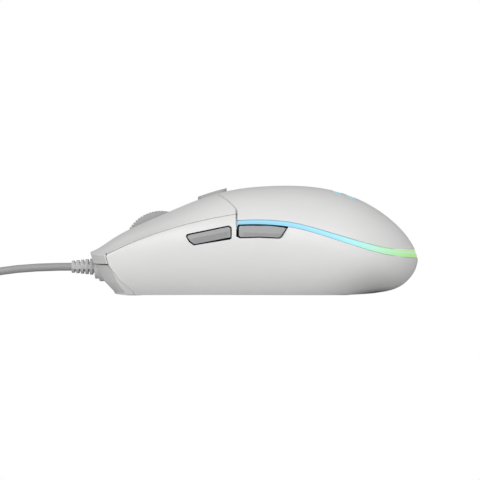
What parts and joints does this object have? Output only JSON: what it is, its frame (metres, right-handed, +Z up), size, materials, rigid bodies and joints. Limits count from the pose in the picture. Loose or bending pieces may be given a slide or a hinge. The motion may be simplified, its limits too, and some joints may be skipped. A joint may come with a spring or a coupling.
{
  "type": "computer mouse",
  "caption": "Wired computer mouse: arched palm shell, split main buttons, ribbed scroll wheel, thumb buttons, lit strip round the tail, cord to a flat plug.",
  "frame": {"origin": "on the table under the centre of the mouse body, feet standing on z = 0", "axes": "+X towards the palm end, -X towards the cord, +Z up, -Y the thumb side"},
  "size_m": [0.2096, 0.0827, 0.0387],
  "materials": {
    "shell_white": "fine satin moulded plastic",
    "button_grey": "satin grey plastic",
    "wheel_rubber": "matt ribbed rubber",
    "wheel_plastic": "satin grey plastic",
    "light_guide": "frosted translucent plastic, lit from inside",
    "inner_plastic": "plain black plastic",
    "lens_clear": "clear moulded lens",
    "board_green": "solder resist over glass fibre",
    "chip_black": "moulded epoxy",
    "switch_black": "plain black plastic",
    "plunger_white": "natural nylon",
    "led_white": "clear resin over white",
    "foot_ptfe": "slick low-friction pad",
    "screw_steel": "zinc plated",
    "pin_steel": "ground steel",
    "cord_grey": "smooth soft grey jacket",
    "relief_grey": "soft moulded grey rubber",
    "tie_black": "soft strap",
    "plug_grey": "satin grey over-moulding",
    "plug_metal": "nickel plated",
    "tongue_white": "plain white plastic",
    "contact_gold": "gold plated"
  },
  "bodies": {
    "case": {"base_case": "shell_white", "side_shell": "shell_white", "palm_shell": "shell_white", "center_spine": "shell_white", "light_guide": "light_guide", "palm_light_window": "light_guide", "wheel_encoder": "inner_plastic", "hinge_pin_left": "pin_steel", "hinge_pin_right": "pin_steel", "main_pcb": "board_green", "side_pcb": "board_green", "dpi_pcb": "board_green", "side_bracket": "inner_plastic", "sensor_lens": "lens_clear", "sensor_chip": "chip_black", "controller_chip": "chip_black", "cord_connector": "tongue_white", "switch_left": "switch_black", "switch_right": "switch_black", "switch_middle": "switch_black", "switch_dpi": "switch_black", "side_switch_front": "switch_black", "side_switch_back": "switch_black", "strip_led_left": "led_white", "strip_led_right": "led_white", "palm_led": "led_white", "front_foot": "foot_ptfe", "rear_foot": "foot_ptfe", "sensor_foot": "foot_ptfe", "case_screw_a": "screw_steel", "case_screw_b": "screw_steel", "case_screw_c": "screw_steel", "case_screw_d": "screw_steel", "board_screw_a": "screw_steel", "board_screw_b": "screw_steel", "strain_relief": "relief_grey", "cord_lead": "cord_grey", "cord_coil": "cord_grey", "cord_tail": "cord_grey", "cord_tie": "tie_black", "usb_plug_body": "plug_grey", "usb_plug_shell": "plug_metal", "usb_plug_tongue": "tongue_white", "usb_plug_contacts": "contact_gold"},
    "left_button": {"main_button_left": "shell_white"},
    "right_button": {"main_button_right": "shell_white"},
    "carrier": {"wheel_carrier": "inner_plastic"},
    "scroll_wheel": {"wheel_tyre": "wheel_rubber", "wheel_hub": "wheel_plastic", "wheel_axle": "pin_steel"},
    "dpi_key": {"dpi_button": "button_grey"},
    "forward_key": {"side_button_front": "button_grey"},
    "back_key": {"side_button_back": "button_grey"},
    "left_plunger": {"plunger_left": "plunger_white"},
    "right_plunger": {"plunger_right": "plunger_white"},
    "middle_plunger": {"plunger_middle": "plunger_white"},
    "dpi_plunger": {"plunger_dpi": "plunger_white"},
    "forward_plunger": {"side_plunger_front": "plunger_white"},
    "back_plunger": {"side_plunger_back": "plunger_white"}
  },
  "joints": [
    {"name": "left_click", "type": "hinge", "parent": "case", "child": "left_button", "pos_m": [-0.0165, 0, 0.0256], "axis": [0, -1, 0], "range_deg": [0, 0.35], "stiffness_Nm_per_rad": 2},
    {"name": "right_click", "type": "hinge", "parent": "case", "child": "right_button", "pos_m": [-0.0165, 0, 0.0256], "axis": [0, -1, 0], "range_deg": [0, 0.35], "stiffness_Nm_per_rad": 2},
    {"name": "wheel_press", "type": "slide", "parent": "case", "child": "carrier", "axis": [0, 0, -1], "range_m": [0, 0.0004], "stiffness_N_per_m": 3000},
    {"name": "wheel_spin", "type": "hinge", "parent": "carrier", "child": "scroll_wheel", "pos_m": [-0.03305, 0, 0.01645], "axis": [0, 1, 0], "continuous": true},
    {"name": "dpi_press", "type": "slide", "parent": "case", "child": "dpi_key", "axis": [0, 0, -1], "range_m": [0, 0.0005], "stiffness_N_per_m": 2000},
    {"name": "forward_press", "type": "slide", "parent": "case", "child": "forward_key", "axis": [0, 1, 0], "range_m": [0, 0.0006], "stiffness_N_per_m": 1500},
    {"name": "back_press", "type": "slide", "parent": "case", "child": "back_key", "axis": [0, 1, 0], "range_m": [0, 0.0006], "stiffness_N_per_m": 1500},
    {"name": "left_plunge", "type": "slide", "parent": "case", "child": "left_plunger", "axis": [0, 0, -1], "range_m": [0, 0.00024]},
    {"name": "right_plunge", "type": "slide", "parent": "case", "child": "right_plunger", "axis": [0, 0, -1], "range_m": [0, 0.00024]},
    {"name": "middle_plunge", "type": "slide", "parent": "case", "child": "middle_plunger", "axis": [0, 0, -1], "range_m": [0, 0.0004]},
    {"name": "dpi_plunge", "type": "slide", "parent": "case", "child": "dpi_plunger", "axis": [0, 0, -1], "range_m": [0, 0.0005]},
    {"name": "forward_plunge", "type": "slide", "parent": "case", "child": "forward_plunger", "axis": [0, 1, 0], "range_m": [0, 0.0006]},
    {"name": "back_plunge", "type": "slide", "parent": "case", "child": "back_plunger", "axis": [0, 1, 0], "range_m": [0, 0.0006]}
  ],
  "couplings": [
    {"joint": "left_plunge", "follows": "left_click", "m_per_rad": 0.0255},
    {"joint": "right_plunge", "follows": "right_click", "m_per_rad": 0.0255},
    {"joint": "middle_plunge", "follows": "wheel_press", "ratio": 1},
    {"joint": "dpi_plunge", "follows": "dpi_press", "ratio": 1},
    {"joint": "forward_plunge", "follows": "forward_press", "ratio": 1},
    {"joint": "back_plunge", "follows": "back_press", "ratio": 1}
  ]
}
